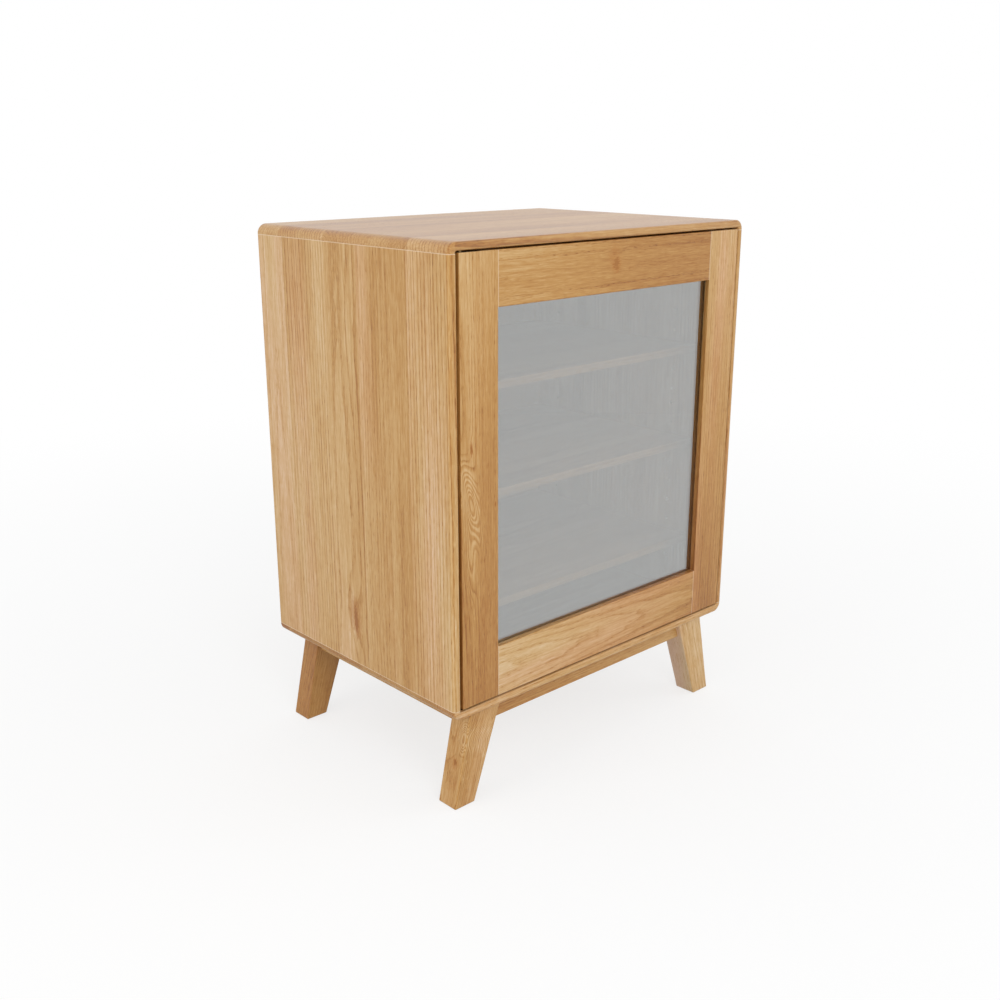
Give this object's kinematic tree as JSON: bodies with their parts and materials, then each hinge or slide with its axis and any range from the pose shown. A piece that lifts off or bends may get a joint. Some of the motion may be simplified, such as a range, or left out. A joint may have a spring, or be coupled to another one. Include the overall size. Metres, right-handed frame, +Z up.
{
  "type": "stereo cabinet",
  "caption": "Oak cabinet on splayed tapered legs with one flush glass-panelled door, adjustable shelves behind it and cable holes in the back, for hi-fi equipment.",
  "frame": {"origin": "centre of the footprint on the floor, under the middle of the case", "axes": "+X to the right seen from the front, -Y towards the front with the door, +Z up"},
  "size_m": [0.58, 0.42, 0.77],
  "materials": {
    "case_oak": "clear satin varnish on solid oak",
    "door_oak": "clear satin varnish on solid oak",
    "shelf_oak": "clear satin varnish on solid oak",
    "base_oak": "clear satin varnish on solid oak",
    "dowel_beech": "bare",
    "back_board": "matt oak veneer",
    "steel": "zinc plated",
    "brass": "satin",
    "black_plastic": "matt",
    "glass": "clear, polished"
  },
  "bodies": {
    "case": {"top_panel": "case_oak", "bottom_panel": "case_oak", "side_left": "case_oak", "side_right": "case_oak", "case_dowels": "dowel_beech", "back_panel": "back_board", "back_screws": "steel", "cable_grommets": "black_plastic", "shelf_upper": "shelf_oak", "shelf_middle": "shelf_oak", "shelf_lower": "shelf_oak", "shelf_pins": "steel", "hinge_bush_top": "brass", "hinge_bush_bottom": "brass", "latch_body": "black_plastic", "latch_screws": "steel", "latch_spring": "steel", "leg_front_left": "base_oak", "leg_front_right": "base_oak", "leg_back_left": "base_oak", "leg_back_right": "base_oak", "rail_front": "base_oak", "rail_back": "base_oak", "rail_left": "base_oak", "rail_right": "base_oak", "leg_dowels": "dowel_beech", "base_screws": "steel"},
    "door": {"door_stile_hinge": "door_oak", "door_stile_latch": "door_oak", "door_rail_top": "door_oak", "door_rail_bottom": "door_oak", "door_glass": "glass", "bead_top": "door_oak", "bead_bottom": "door_oak", "bead_left": "door_oak", "bead_right": "door_oak", "bead_brads": "steel", "hinge_leaf_top": "brass", "hinge_leaf_bottom": "brass", "hinge_screws": "steel", "strike_plate": "steel", "strike_screws": "steel"},
    "plunger": {"latch_plunger": "black_plastic", "latch_magnet": "steel"}
  },
  "joints": [
    {"name": "door_hinge", "type": "hinge", "parent": "case", "child": "door", "pos_m": [-0.2665, -0.202, 0.4565], "axis": [0, 0, -1], "range_deg": [0, 105]},
    {"name": "plunger_slide", "type": "slide", "parent": "case", "child": "plunger", "axis": [0, -1, 0], "range_m": [0, 0.012]}
  ],
  "couplings": [
    {"joint": "plunger_slide", "follows": "door_hinge", "m_per_rad": 0.0065}
  ]
}
